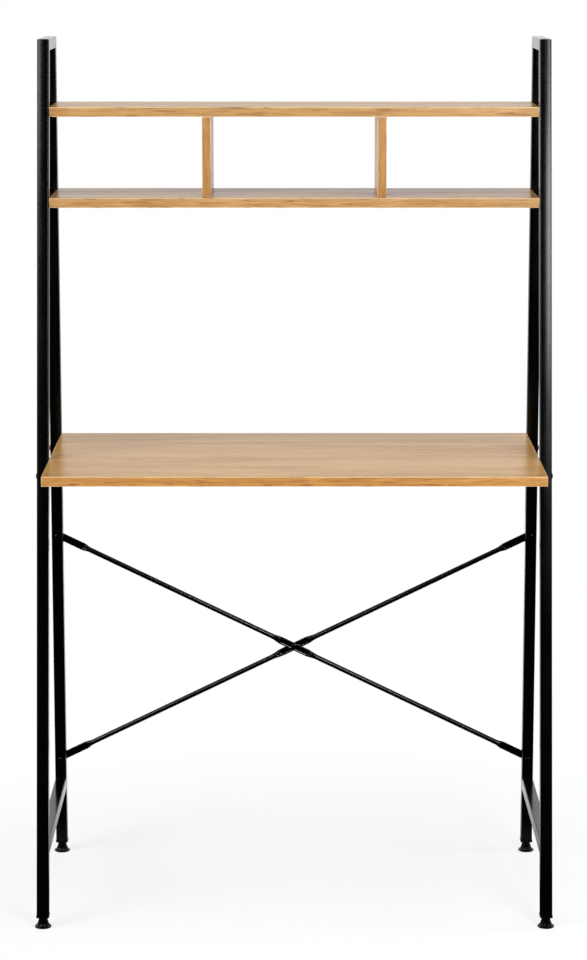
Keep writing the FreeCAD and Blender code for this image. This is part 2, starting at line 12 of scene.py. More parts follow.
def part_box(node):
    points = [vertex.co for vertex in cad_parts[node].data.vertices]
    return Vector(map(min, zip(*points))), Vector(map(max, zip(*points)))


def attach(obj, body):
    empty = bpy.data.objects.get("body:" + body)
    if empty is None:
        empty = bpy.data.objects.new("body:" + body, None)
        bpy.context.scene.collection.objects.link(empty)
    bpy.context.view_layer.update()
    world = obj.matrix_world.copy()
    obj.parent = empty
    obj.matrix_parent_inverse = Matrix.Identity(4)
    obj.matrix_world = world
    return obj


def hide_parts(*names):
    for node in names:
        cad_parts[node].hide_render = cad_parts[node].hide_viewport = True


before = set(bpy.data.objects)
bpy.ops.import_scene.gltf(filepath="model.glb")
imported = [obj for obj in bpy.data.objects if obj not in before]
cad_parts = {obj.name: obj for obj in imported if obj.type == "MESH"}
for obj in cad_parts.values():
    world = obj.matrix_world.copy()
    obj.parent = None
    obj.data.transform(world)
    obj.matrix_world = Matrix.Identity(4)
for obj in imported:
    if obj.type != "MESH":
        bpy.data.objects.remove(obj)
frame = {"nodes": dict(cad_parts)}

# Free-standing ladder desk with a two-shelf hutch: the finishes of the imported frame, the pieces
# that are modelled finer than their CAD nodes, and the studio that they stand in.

LOG = logging.getLogger("ladder_desk")
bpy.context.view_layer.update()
MM = 0.001
HALF_HEXAGON = math.radians(30)
NEARLY_HALF = 0.499
THREAD_DEPTH = 0.62
CORNERS = ("front_left", "front_right", "rear_left", "rear_right")
Colour = tuple[float, float, float]
Socket = bpy.types.NodeSocket


class Side(Enum):
    """Which side frame or divider a piece belongs to."""

    LEFT = -1
    RIGHT = 1


class Grain(Enum):
    """The axis that a board's grain runs along."""

    ACROSS = 0
    UPRIGHT = 2


class Axis(Enum):
    """Where the shanks of a group of fasteners point."""

    REAR = "to the rear"
    UP = "up"
    INWARD = "to the middle of the desk"

    def at(self, place: Vector) -> Vector:
        """Direction of the shank of a fastener that sits at a place.

        Args:
            place: The fastener's middle.

        Returns:
            The direction, one unit long.
        """
        if self is Axis.REAR:
            return Vector((0.0, 1.0, 0.0))
        if self is Axis.UP:
            return Vector((0.0, 0.0, 1.0))
        return Vector((-math.copysign(1.0, place.x), 0.0, 0.0))


# ---------------------------------------------------------------- finishes
def turns(step: float, count: int, first: int = 0) -> list[float]:
    """Angles in radians at a step in degrees, for the whole numbers from first to before count."""
    return [math.radians(step * i) for i in range(first, count)]


def clamp(value: float) -> float:
    """The value, kept from 0 to 1."""
    return min(max(value, 0.0), 1.0)


class Graph:
    """A node tree, with short calls for the nodes that the finishes and the studio share."""

    def __init__(self, tree: bpy.types.NodeTree) -> None:
        """Empty a tree and start it afresh.

        Args:
            tree: The tree.
        """
        self.nodes = tree.nodes
        self.links = tree.links
        self.nodes.clear()
        self.place = self.nodes.new("ShaderNodeTexCoord")

    def feed(self, target: Socket, value: Socket | float | Sequence[float]) -> None:
        """Link or set one input.

        Args:
            target: The input.
            value: A socket to link, or a plain value.
        """
        if isinstance(value, bpy.types.NodeSocket):
            self.links.new(value, target)
        else:
            target.default_value = value

    def calc(self, operation: str, first: Socket | float, second: Socket | float = 0.0) -> Socket:
        """Do one sum.

        Args:
            operation: Blender's name of the sum.
            first: First value.
            second: Second value.

        Returns:
            The result.
        """
        node = self.nodes.new("ShaderNodeMath")
        node.operation = operation
        self.feed(node.inputs[0], first)
        self.feed(node.inputs[1], second)
        return node.outputs[0]

    def part(self, vector: Socket, axis: str) -> Socket:
        """Take one coordinate of a vector.

        Args:
            vector: The vector.
            axis: X, Y or Z.

        Returns:
            The coordinate.
        """
        node = self.nodes.new("ShaderNodeSeparateXYZ")
        self.links.new(vector, node.inputs[0])
        return node.outputs[axis]

    def stretch(self, vector: Socket, scale: Sequence[float], offset: Sequence[float]) -> Socket:
        """Scale and shift a pattern's coordinates.

        Args:
            vector: The coordinates.
            scale: Repeats per metre along each axis.
            offset: Shift along each axis, which picks another part of the pattern.

        Returns:
            The new coordinates.
        """
        node = self.nodes.new("ShaderNodeMapping")
        self.feed(node.inputs["Vector"], vector)
        node.inputs["Scale"].default_value = scale
        node.inputs["Location"].default_value = offset
        return node.outputs["Vector"]

    def noise(self, vector: Socket, scale: float, detail: float, rough: float = 0.5,
              bend: float = 0.0) -> Socket:
        """Sample a noise pattern.

        Args:
            vector: The coordinates.
            scale: Size of the pattern, in repeats per unit.
            detail: Octaves.
            rough: Strength of the fine octaves.
            bend: Distortion.

        Returns:
            The noise, from 0 to 1.
        """
        node = self.nodes.new("ShaderNodeTexNoise")
        self.feed(node.inputs["Vector"], vector)
        node.inputs["Scale"].default_value = scale
        node.inputs["Detail"].default_value = detail
        node.inputs["Roughness"].default_value = rough
        node.inputs["Distortion"].default_value = bend
        return node.outputs["Fac"]

    def span(self, value: Socket, low: float, high: float, to_low: float, to_high: float) -> Socket:
        """Spread a range of a value over another range, clamped.

        Args:
            value: The value.
            low: Where the range starts.
            high: Where it ends.
            to_low: Result at the start.
            to_high: Result at the end.

        Returns:
            The spread value.
        """
        node = self.nodes.new("ShaderNodeMapRange")
        self.feed(node.inputs["Value"], value)
        for key, number in {"From Min": low, "From Max": high, "To Min": to_low, "To Max": to_high}.items():
            node.inputs[key].default_value = number
        return node.outputs["Result"]

    def mix(self, factor: Socket | float, first: Socket | Colour, second: Socket | Colour,
            mode: str = "MIX") -> Socket:
        """Mix two colours.

        Args:
            factor: Share of the second colour.
            first: First colour.
            second: Second colour.
            mode: Blender's name of the mixing mode.

        Returns:
            The mixed colour.
        """
        node = self.nodes.new("ShaderNodeMix")
        node.data_type = "RGBA"
        node.blend_type = mode
        self.feed(node.inputs[0], factor)
        for slot, colour in ((6, first), (7, second)):
            plain = isinstance(colour, tuple)
            self.feed(node.inputs[slot], (*colour, 1.0) if plain else colour)
        return node.outputs[2]

    def blend(self, factor: Socket, first: Socket | float, second: Socket | float) -> Socket:
        """Mix two numbers.

        Args:
            factor: Share of the second number.
            first: First number.
            second: Second number.

        Returns:
            The mixed number.
        """
        node = self.nodes.new("ShaderNodeMix")
        for slot, value in enumerate((factor, None, first, second)):
            if value is not None:
                self.feed(node.inputs[slot], value)
        return node.outputs[0]


class Finish(Graph):
    """The node tree of one material, around its Principled shader."""

    def __init__(self, name: str) -> None:
        """Start the material.

        Args:
            name: The material's name.
        """
        self.material = bpy.data.materials.new(name)
        self.material.use_nodes = True
        super().__init__(self.material.node_tree)
        self.shader = self.nodes.new("ShaderNodeBsdfPrincipled")
        output = self.nodes.new("ShaderNodeOutputMaterial")
        self.links.new(self.shader.outputs["BSDF"], output.inputs["Surface"])

    def relief(self, height: Socket, depth: float, strength: float) -> None:
        """Give the surface a fine relief.

        Args:
            height: The relief, from 0 to 1.
            depth: Its depth in metres.
            strength: How much of it shows.
        """
        node = self.nodes.new("ShaderNodeBump")
        node.inputs["Strength"].default_value = strength
        node.inputs["Distance"].default_value = depth
        self.feed(node.inputs["Height"], height)
        self.links.new(node.outputs["Normal"], self.shader.inputs["Normal"])

    def tint(self, pattern: Socket, low: float, high: float, colours: tuple[Colour, Colour]) -> None:
        """Let the surface's colour wander between two colours.

        Args:
            pattern: The pattern that it follows.
            low: Where the pattern gives the first colour.
            high: Where it gives the second.
            colours: The two colours.
        """
        self.feed(self.shader.inputs["Base Color"], self.mix(self.span(pattern, low, high, 0.0, 1.0), *colours))

    def sheen(self, pattern: Socket, low: float, high: float, roughness: tuple[float, float]) -> None:
        """Let the surface's roughness wander.

        Args:
            pattern: The pattern that it follows.
            low: Where the pattern gives the first roughness.
            high: Where it gives the second.
            roughness: The two roughnesses.
        """
        self.feed(self.shader.inputs["Roughness"], self.span(pattern, low, high, *roughness))


def toned(colour: Colour, share: float) -> Colour:
    """A colour made lighter or darker."""
    return tuple(share * part for part in colour)


@dataclass(frozen=True)
class OakFoil:
    """Golden oak foil or edge band: broad figure, fine fibre and short dark pores along the grain.

    Each pattern has its repeats per metre along the grain and across it.
    """

    name: str
    pale: Colour
    deep: Colour
    pore: Colour
    roughness: float
    grain: Grain = Grain.ACROSS
    offset: tuple[float, float, float] = (0.0, 0.0, 0.0)
    gloss: float = 0.26
    figure: tuple[float, float] = (2.4, 26.0)
    fibre: tuple[float, float] = (9.0, 240.0)
    pores: tuple[float, float] = (16.0, 330.0)
    figure_share: float = 0.72
    pore_share: float = 0.5
    drift: tuple[float, float] = (2.6, 11.0)
    shade: Colour = (0.9, 0.84, 0.74)
    depth: float = 0.00001
    end_facing: float = 0.8

    def scale(self, pattern: tuple[float, float]) -> tuple[float, float, float]:
        """Repeats per metre along each axis, for a pattern that is drawn out along the grain."""
        return tuple(pattern[0] if axis == self.grain.value else pattern[1] for axis in range(3))

    def along_grain(self, graph: Finish) -> Socket:
        """Coordinates whose grain turns on the board's end faces, as an edge band's does.

        Args:
            graph: The finish that is being made.

        Returns:
            The coordinates.
        """
        point = graph.place.outputs["Object"]
        if self.grain is Grain.UPRIGHT:
            return point
        facing = graph.part(graph.place.outputs["Normal"], "X")
        end = graph.calc("GREATER_THAN", graph.calc("ABSOLUTE", facing), self.end_facing)
        turned = graph.nodes.new("ShaderNodeCombineXYZ")
        for name, other in zip("XYZ", "YXZ"):
            graph.links.new(graph.part(point, other), turned.inputs[name])
        choice = graph.nodes.new("ShaderNodeMix")
        choice.data_type = "VECTOR"
        graph.links.new(end, choice.inputs[0])
        graph.links.new(point, choice.inputs[4])
        graph.links.new(turned.outputs[0], choice.inputs[5])
        return choice.outputs[1]

    def make(self) -> bpy.types.Material:
        """Build the material.

        Returns:
            The finished material.
        """
        graph = Finish(self.name)
        point = self.along_grain(graph)
        drift, figure, fibre, dashes = (
            graph.noise(graph.stretch(point, self.scale(pattern), self.offset), 1.0, *character)
            for pattern, character in ((self.drift, (2.0,)), (self.figure, (4.0, 0.55, 0.8)),
                                       (self.fibre, (3.0, 0.6, 0.2)), (self.pores, (1.0, 0.4))))
        tone = graph.calc("ADD", graph.calc("MULTIPLY", figure, self.figure_share),
                          graph.calc("MULTIPLY", fibre, 1.0 - self.figure_share))
        wood = graph.mix(graph.span(tone, 0.37, 0.63, 0.0, 1.0), self.pale, self.deep)
        warm = graph.mix(graph.span(drift, 0.36, 0.64, 0.0, 0.75), wood, self.shade, "MULTIPLY")
        pores = graph.calc("MULTIPLY", graph.span(dashes, 0.6, 0.68, 0.0, self.pore_share),
                           graph.span(figure, 0.42, 0.56, 0.2, 1.0))
        graph.feed(graph.shader.inputs["Base Color"], graph.mix(pores, warm, self.pore))
        graph.sheen(tone, 0.35, 0.65, (self.roughness - 0.03, self.roughness + 0.05))
        graph.shader.inputs["Specular IOR Level"].default_value = self.gloss
        height = graph.calc("SUBTRACT", graph.calc("MULTIPLY", fibre, 0.5), pores)
        graph.relief(height, self.depth, 0.5)
        return graph.material


@dataclass(frozen=True)
class PowderCoat:
    """Black powder coat with a faint orange-peel skin, on tube whose faces bow out slightly."""

    name: str = "black_powder_coat"
    colour: Colour = (0.0003, 0.0003, 0.00035)
    roughness: float = 0.2
    gloss: float = 0.38
    cloud_size: float = 9.0
    cloud_light: float = 1.7
    peel_size: float = 420.0
    peel_depth: float = 0.0000025
    bow_depth: float = 0.0008
    bow_centre: float | None = None
    bow_half: float = 0.01

    def bow(self, graph: Finish, point: Socket) -> Socket:
        """Height of the bow across the tube, from 0 at its sides to 1 at its middle.

        Args:
            graph: The finish that is being made.
            point: The surface's coordinates.

        Returns:
            The height.
        """
        side = graph.calc("SUBTRACT", graph.calc("ABSOLUTE", graph.part(point, "X")), self.bow_centre)
        share = graph.calc("DIVIDE", side, self.bow_half)
        return graph.calc("SUBTRACT", 1.0, graph.calc("MULTIPLY", share, share))

    def make(self) -> bpy.types.Material:
        """Build the material.

        Returns:
            The finished material.
        """
        graph = Finish(self.name)
        point = graph.place.outputs["Object"]
        height = graph.calc("MULTIPLY", graph.noise(point, self.peel_size, 2.0), self.peel_depth)
        if self.bow_centre is not None:
            bowed = graph.calc("MULTIPLY", self.bow(graph, point), self.bow_depth)
            height = graph.calc("ADD", height, bowed)
        cloud = graph.noise(point, self.cloud_size, 3.0)
        graph.tint(cloud, 0.3, 0.7, (self.colour, toned(self.colour, self.cloud_light)))
        graph.sheen(cloud, 0.3, 0.7, (self.roughness - 0.03, self.roughness + 0.04))
        graph.shader.inputs["Specular IOR Level"].default_value = self.gloss
        graph.relief(height, 1.0, 1.0)
        return graph.material


@dataclass(frozen=True)
class Metal:
    """Plated steel with fine uneven brushing, bright or blackened."""

    name: str
    colour: Colour
    worn: Colour
    roughness: float
    brushing: float = 0.000008
    rim: float = 1.0
    blotch_size: float = 160.0
    brush_size: float = 1400.0

    def make(self) -> bpy.types.Material:
        """Build the material.

        Returns:
            The finished material.
        """
        graph = Finish(self.name)
        point = graph.place.outputs["Object"]
        fine = graph.noise(point, self.brush_size, 2.0)
        graph.tint(graph.noise(point, self.blotch_size, 4.0), 0.35, 0.7, (self.colour, self.worn))
        graph.shader.inputs["Metallic"].default_value = 1.0
        graph.shader.inputs["Specular Tint"].default_value = (self.rim, self.rim, self.rim, 1.0)
        graph.sheen(fine, 0.3, 0.7, (self.roughness - 0.05, self.roughness + 0.07))
        graph.relief(fine, self.brushing, 0.5)
        return graph.material


@dataclass(frozen=True)
class Plastic:
    """Moulded black plastic with a fine spark texture."""

    name: str = "moulded_black_plastic"
    colour: Colour = (0.001, 0.001, 0.0011)
    roughness: float = 0.16
    gloss: float = 0.2
    spark_size: float = 2200.0
    spark_depth: float = 0.000004
    flow_size: float = 90.0
    flow_light: float = 1.5

    def make(self) -> bpy.types.Material:
        """Build the material.

        Returns:
            The finished material.
        """
        graph = Finish(self.name)
        point = graph.place.outputs["Object"]
        flow = graph.noise(point, self.flow_size, 2.0)
        graph.tint(flow, 0.3, 0.7, (self.colour, toned(self.colour, self.flow_light)))
        graph.sheen(flow, 0.3, 0.7, (self.roughness - 0.03, self.roughness + 0.03))
        graph.shader.inputs["Specular IOR Level"].default_value = self.gloss
        graph.relief(graph.noise(point, self.spark_size, 2.0), self.spark_depth, 0.5)
        return graph.material


@dataclass(frozen=True)
class Palette:
    """Every finish of the object, made once."""

    tube: bpy.types.Material
    bar: bpy.types.Material
    frame: bpy.types.Material
    enamel: bpy.types.Material
    steel: bpy.types.Material
    zinc: bpy.types.Material
    plastic: bpy.types.Material
    beech: bpy.types.Material

    @classmethod
    def mixed(cls) -> "Palette":
        """Make the finishes that several pieces share.

        Returns:
            The palette.
        """
        beech = OakFoil("plain_beech", (0.66, 0.46, 0.27), (0.56, 0.37, 0.2), (0.4, 0.24, 0.12), 0.5,
                        Grain.UPRIGHT)
        low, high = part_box("left_front_leg")
        bowed = PowderCoat("black_powder_coat_on_tube", bow_centre=-(low.x + high.x) / 2,
                           bow_half=(high.x - low.x) / 2)
        smooth = PowderCoat("black_powder_coat_on_bar", roughness=0.11)
        enamel = Metal("black_lacquered_rod", (0.04, 0.04, 0.042), (0.05, 0.05, 0.052), 0.19, 0.0000006, 0.0)
        steel = Metal("black_zinc_steel", (0.02, 0.02, 0.021), (0.03, 0.03, 0.032), 0.28, rim=0.1)
        zinc = Metal("bright_zinc_steel", (0.58, 0.59, 0.61), (0.48, 0.49, 0.52), 0.3)
        return cls(*(finish.make() for finish in (bowed, smooth, PowderCoat(), enamel, steel, zinc, Plastic(),
                                                  beech)))


# ---------------------------------------------------------------- modelling
def edges_of(items: Sequence[bmesh.types.BMVert | bmesh.types.BMEdge]) -> list[bmesh.types.BMEdge]:
    """The edges among the parts that an operator gave back."""
    return [item for item in items if isinstance(item, bmesh.types.BMEdge)]


def edges_at(verts: Sequence[bmesh.types.BMVert]) -> list[bmesh.types.BMEdge]:
    """The edges that meet at some points, each once and in a fixed order."""
    return list(dict.fromkeys(edge for vert in verts for edge in vert.link_edges))


class Shape:
    """One body being modelled in a bmesh, in millimetres, before it becomes a piece."""

    def __init__(self) -> None:
        """Start empty."""
        self.bm = bmesh.new()

    @classmethod
    def lathe(cls, outline: Sequence[tuple[float, float]], steps: int = 48) -> "Shape":
        """Revolve an outline about Z.

        Args:
            outline: Points as (radius, height).
            steps: Facets in the round.

        Returns:
            The revolved shape.
        """
        shape = cls()
        points = [shape.bm.verts.new((radius, 0.0, height)) for radius, height in outline]
        edges = [shape.bm.edges.new(pair) for pair in zip(points, points[1:])]
        bmesh.ops.spin(shape.bm, geom=points + edges, cent=(0, 0, 0), axis=(0, 0, 1), dvec=(0, 0, 0),
                       angle=2 * math.pi, steps=steps, use_merge=True)
        bmesh.ops.remove_doubles(shape.bm, verts=shape.bm.verts[:], dist=1e-4)
        shape.outwards()
        return shape

    @classmethod
    def thread(cls, radius: float, pitch: float, length: float, steps: int = 24) -> "Shape":
        """Cut-thread ridge wound about Z, to lie on a core of its root radius.

        Args:
            radius: Outer radius.
            pitch: Rise of one turn.
            length: Height of the threaded stretch.
            steps: Facets in one turn.

        Returns:
            The closed ridge.
        """
        shape = cls()
        root = radius - THREAD_DEPTH * pitch
        turns = length / pitch - 1
        crest = pitch / 12
        ridge = [(root - 0.1, -0.46 * pitch), (radius, -crest), (radius, crest), (root - 0.1, 0.46 * pitch)]
        ring = [shape.bm.verts.new((r, 0.0, z + pitch / 2)) for r, z in ridge]
        loop = [shape.bm.edges.new((ring[i - 1], ring[i])) for i in range(4)]
        count = max(int(turns * steps), 1)
        spun = bmesh.ops.spin(shape.bm, geom=ring + loop, cent=(0, 0, 0), axis=(0, 0, 1),
                              dvec=(0, 0, pitch / steps), angle=2 * math.pi * count / steps, steps=count)
        bmesh.ops.contextual_create(shape.bm, geom=loop)
        bmesh.ops.contextual_create(shape.bm, geom=edges_of(spun["geom_last"]))
        shape.outwards()
        return shape

    @classmethod
    def bead(cls, rows: Sequence[tuple[float, float]], segments: int = 3) -> "Shape":
        """Skin a row of near-round outlines that are stacked along Z.

        Args:
            rows: Height and width of each outline, from low to high.
            segments: Facets in a quarter of an outline.

        Returns:
            The closed skin.
        """
        shape = cls()
        loops = []
        for height, width in rows:
            before = set(shape.bm.verts)
            made = bmesh.ops.create_grid(shape.bm, x_segments=1, y_segments=1, size=0.5)
            bmesh.ops.scale(shape.bm, vec=(width, width, 1.0), verts=made["verts"])
            bmesh.ops.bevel(shape.bm, geom=made["verts"], offset=NEARLY_HALF * width, offset_type="OFFSET",
                            segments=segments, profile=0.5, affect="VERTICES", material=-1,
                            clamp_overlap=True)
            ring = [vert for vert in shape.bm.verts if vert not in before]
            bmesh.ops.translate(shape.bm, vec=(0.0, 0.0, height), verts=ring)
            faces = list(dict.fromkeys(face for vert in ring for face in vert.link_faces))
            loops.append(edges_at(ring))
            if height not in (rows[0][0], rows[-1][0]):
                bmesh.ops.delete(shape.bm, geom=faces, context="FACES_ONLY")
        for low, high in zip(loops, loops[1:]):
            bmesh.ops.bridge_loops(shape.bm, edges=low + high)
        shape.outwards()
        return shape

    @classmethod
    def tube(cls, heights: Sequence[float], radius: float, steps: int = 64) -> "Shape":
        """Closed round bar along Z with a ring of points at every height.

        Args:
            heights: Where the rings lie, from low to high.
            radius: Radius of the bar.
            steps: Facets in the round.

        Returns:
            The bar.
        """
        shape = cls()
        rings = []
        for height in heights:
            end = height in (heights[0], heights[-1])
            made = bmesh.ops.create_circle(shape.bm, cap_ends=end, segments=steps, radius=radius,
                                           matrix=Matrix.Translation((0.0, 0.0, height)))
            rings.append(edges_at(made["verts"]))
        for low, high in zip(rings, rings[1:]):
            bmesh.ops.bridge_loops(shape.bm, edges=low + high)
        shape.outwards()
        return shape

    @classmethod
    def block(cls, low: Vector, high: Vector) -> "Shape":
        """Block between two corners.

        Args:
            low: Lowest corner.
            high: Highest corner.

        Returns:
            The block.
        """
        shape = cls()
        made = bmesh.ops.create_cube(shape.bm, size=1.0)
        bmesh.ops.scale(shape.bm, vec=high - low, verts=made["verts"])
        bmesh.ops.translate(shape.bm, vec=(low + high) / 2, verts=made["verts"])
        return shape

    def ease(self, radius: float, segments: int, chosen: Callable[[bmesh.types.BMEdge], bool]) -> None:
        """Round the edges that a test picks.

        Args:
            radius: Radius of the rounding.
            segments: Facets in it.
            chosen: The test.
        """
        edges = [edge for edge in self.bm.edges if chosen(edge)]
        bmesh.ops.bevel(self.bm, geom=edges, offset=radius, offset_type="OFFSET", segments=segments,
                        profile=0.5, affect="EDGES", material=-1, clamp_overlap=True)

    def sink(self, sides: int, radius: float, level: float, depth: float, steps: int) -> None:
        """Sink a socket into the open round at the crown of a fastener's head.

        Args:
            sides: Sides of the socket.
            radius: Distance from its middle to its corners.
            level: Height of the open round.
            depth: How far up the socket goes.
            steps: Facets of the round.
        """
        rim = [edge for edge in self.bm.edges if edge.is_boundary]
        made = bmesh.ops.create_circle(self.bm, segments=sides, radius=radius, cap_ends=False)
        bmesh.ops.translate(self.bm, vec=(0, 0, level), verts=made["verts"])
        lines = edges_at(made["verts"])
        cut = bmesh.ops.subdivide_edges(self.bm, edges=lines, cuts=steps // sides - 1)
        known = dict.fromkeys(edges_of(cut["geom_split"] + cut["geom_inner"]) + lines)
        outline = [edge for edge in known if edge.is_valid]
        bmesh.ops.bridge_loops(self.bm, edges=rim + outline)
        deep = bmesh.ops.extrude_edge_only(self.bm, edges=outline)["geom"]
        verts = [item for item in deep if isinstance(item, bmesh.types.BMVert)]
        bmesh.ops.translate(self.bm, vec=(0, 0, depth), verts=verts)
        bmesh.ops.contextual_create(self.bm, geom=[edge for edge in edges_of(deep) if edge.is_boundary])
        self.outwards()

    def trim(self, point: Vector, outward: Vector) -> None:
        """Cut away what lies past a plane and close the cut.

        Args:
            point: A point on the plane.
            outward: The side that goes.
        """
        geometry = self.bm.verts[:] + self.bm.edges[:] + self.bm.faces[:]
        cut = bmesh.ops.bisect_plane(self.bm, geom=geometry, plane_co=point, plane_no=outward,
                                     clear_outer=True)
        rim = edges_of(cut["geom_cut"])
        if rim:
            bmesh.ops.contextual_create(self.bm, geom=rim)

    def add(self, other: "Shape", matrix: Matrix = Matrix.Identity(4)) -> None:
        """Take in another shape.

        Args:
            other: The shape, which is used up.
            matrix: Where it goes.
        """
        other.bm.transform(matrix)
        carrier = bpy.data.meshes.new("carrier")
        other.bm.to_mesh(carrier)
        other.bm.free()
        self.bm.from_mesh(carrier)
        bpy.data.meshes.remove(carrier)

    def outwards(self) -> None:
        """Turn every face outwards."""
        bmesh.ops.recalc_face_normals(self.bm, faces=self.bm.faces[:])

    def piece(self, name: str, body: str, slot: str, finish: bpy.types.Material,
              nodes: Sequence[str] = (), sharp: float = 34.0) -> bpy.types.Object:
        """Turn the shape into a named piece of the object.

        Args:
            name: The piece's name.
            body: The CAD body that it rides on.
            slot: Name of a material slot; not used.
            finish: The material.
            nodes: The CAD nodes that it stands for.
            sharp: Angle in degrees from which an edge stays crisp.

        Returns:
            The Blender object.
        """
        mesh = bpy.data.meshes.new(name)
        self.bm.transform(Matrix.Scale(MM, 4))
        self.bm.to_mesh(mesh)
        self.bm.free()
        mesh.shade_smooth()
        mesh.set_sharp_from_angle(angle=math.radians(sharp))
        mesh.materials.append(finish)
        thing = bpy.data.objects.new(name, mesh)
        bpy.context.scene.collection.objects.link(thing)
        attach(thing, body)
        if nodes:
            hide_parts(*nodes)
        LOG.info("%s: %d faces", name, len(mesh.polygons))
        return thing


def node_box(node: str) -> tuple[Vector, Vector]:
    """Lowest and highest corner of a CAD node, in millimetres."""
    low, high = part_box(node)
    return low / MM, high / MM


def node_islands(node: str) -> list[tuple[Vector, Vector]]:
    """Boxes of the separate solids of a CAD node.

    Args:
        node: The CAD node.

    Returns:
        Lowest and highest corner of each solid, in millimetres.
    """
    bm = bmesh.new()
    bm.from_mesh(frame["nodes"][node].data)
    bmesh.ops.remove_doubles(bm, verts=bm.verts[:], dist=1e-6)
    boxes = []
    waiting = set(bm.verts)
    while waiting:
        island = []
        front = [waiting.pop()]
        while front:
            vert = front.pop()
            island.append(vert.co / MM)
            for edge in vert.link_edges:
                other = edge.other_vert(vert)
                if other in waiting:
                    waiting.remove(other)
                    front.append(other)
        boxes.append((Vector([min(p[i] for p in island) for i in range(3)]),
                      Vector([max(p[i] for p in island) for i in range(3)])))
    bm.free()
    return sorted(boxes, key=lambda box: tuple(round(value, 2) for value in box[0]))


def aim(point: Vector, direction: Vector) -> Matrix:
    """Matrix that turns +Z to a direction and moves the origin to a point.

    Args:
        point: Where the origin goes.
        direction: Where +Z points.

    Returns:
        The matrix.
    """
    return Matrix.Translation(point) @ Vector(direction).to_track_quat("Z", "Y").to_matrix().to_4x4()


# ---------------------------------------------------------------- fasteners
@dataclass
class ButtonBolt:
    """Button-head bolt with a hexagon socket and a cut thread at its end."""

    head_radius: float = 5.3
    head_height: float = 2.0
    radius: float = 3.0
    pitch: float = 1.0
    socket: float = 4.0
    socket_depth: float = 1.1
    socket_lead: float = 0.12
    crown_edge: float = 0.35
    seat_edge: float = 0.15
    tip: float = 0.4
    thread_length: float = 8.0
    steps: int = 48

    def shape(self, length: float) -> Shape:
        """Model the bolt with its head below z = 0 and a thread at its end.

        Args:
            length: Length of the shank.

        Returns:
            The bolt.
        """
        threaded = min(self.thread_length, length - 1.0)
        root = self.radius - THREAD_DEPTH * self.pitch
        plain = length - threaded
        rise = self.head_height - self.crown_edge
        bulge = [(self.head_radius * math.cos(turn), -self.crown_edge - rise * math.sin(turn))
                 for turn in turns(9.0, 8)]
        corner = self.socket / 2 / math.cos(HALF_HEXAGON)
        inner = corner + 0.2
        floor = self.socket_lead - self.head_height
        flat = [(inner + self.crown_edge, -self.head_height), (inner, floor)]
        outline = [(0.0, length), (root - self.tip, length), (root, length - self.tip), (root, plain),
                   (self.radius, plain), (self.radius, 0.0), (self.head_radius - self.seat_edge, 0.0),
                   (self.head_radius, -self.seat_edge)]
        bolt = Shape.lathe(outline + bulge + flat, self.steps)
        bolt.sink(6, corner, floor, self.socket_depth, self.steps)
        if threaded > 2 * self.pitch:
            bolt.add(Shape.thread(self.radius, self.pitch, threaded), Matrix.Translation((0, 0, plain)))
        return bolt


@dataclass
class HexNut:
    """Hexagon nut with turned chamfers and a countersunk bore."""

    across: float = 10.0
    bore: float = 3.02
    lead: float = 0.55
    proud: float = 0.05
    face_edge: float = 0.2

    def shape(self, height: float) -> Shape:
        """Model the nut from z = 0 up.

        Args:
            height: Its height.

        Returns:
            The nut.
        """
        corner = self.across / 2 / math.cos(HALF_HEXAGON) + self.proud
        face = self.across / 2 - self.face_edge
        low, high = self.lead, height - self.lead
        mouth = self.bore + self.lead
        outline = [(self.bore, low), (mouth, 0.0), (face, 0.0), (corner, low), (corner, high), (face, height),
                   (mouth, height), (self.bore, high), (self.bore, low)]
        nut = Shape.lathe(outline, 96)
        for turn in turns(60.0, 6):
            turn += HALF_HEXAGON
            outward = Vector((math.cos(turn), math.sin(turn), 0.0))
            nut.trim(outward * self.across / 2, outward)
        return nut


@dataclass
class PanScrew:
    """Pan-head wood screw with a square socket."""

    head: float = 4.0
    head_height: float = 2.2
    dome: float = 1.3
    radius: float = 2.0
    core: float = 1.25
    pitch: float = 1.4
    socket: float = 1.25
    socket_depth: float = 1.0
    socket_lead: float = 0.12
    steps: int = 32

    def shape(self, length: float) -> Shape:
        """Model the screw, head down, from z = 0 up.

        Args:
            length: Its whole length.

        Returns:
            The screw.
        """
        dome = [(self.head * math.cos(turn), self.dome - self.dome * math.sin(turn))
                for turn in turns(10.0, 7)]
        outline = [(0.0, length), (0.5, length - 1.2), (self.core, length - 3.5),
                   (self.core, self.head_height + 0.5), (self.radius, self.head_height),
                   (self.head, self.head_height)]
        crown = [(self.socket + 0.5, 0.0), (self.socket + 0.2, self.socket_lead)]
        screw = Shape.lathe(outline + dome + crown, self.steps)
        screw.sink(4, self.socket, self.socket_lead, self.socket_depth, self.steps)
        thread = Shape.thread(self.radius, self.pitch, length - self.head_height - 2.0)
        screw.add(thread, Matrix.Translation((0, 0, self.head_height)))
        return screw


